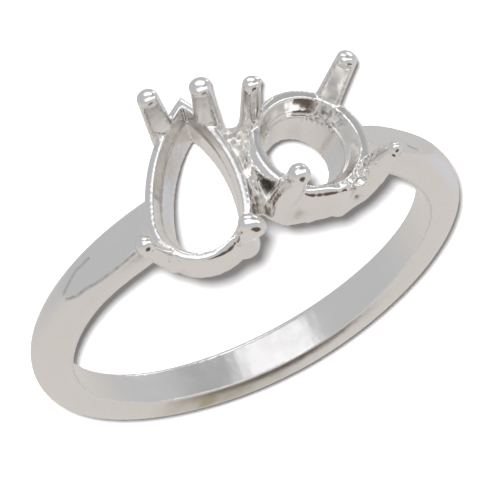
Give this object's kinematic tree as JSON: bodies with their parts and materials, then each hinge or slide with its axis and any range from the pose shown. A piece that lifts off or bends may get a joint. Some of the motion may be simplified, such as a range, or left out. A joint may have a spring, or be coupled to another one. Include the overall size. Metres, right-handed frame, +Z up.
{
  "type": "semi mount ring setting",
  "caption": "Two-headed ring setting without stones: a pear head and a round head with prongs, side by side on a plain half-round shank with filed shoulders.",
  "frame": {"origin": "centre of the finger bore, midway across the band", "axes": "+Z up as the ring lies on its back, -Y towards the two heads, +X towards the pear head"},
  "size_m": [0.0206, 0.0238, 0.0086],
  "materials": {
    "silver": "polished cast sterling silver"
  },
  "bodies": {
    "root": {"ring_setting": "silver"}
  },
  "joints": []
}
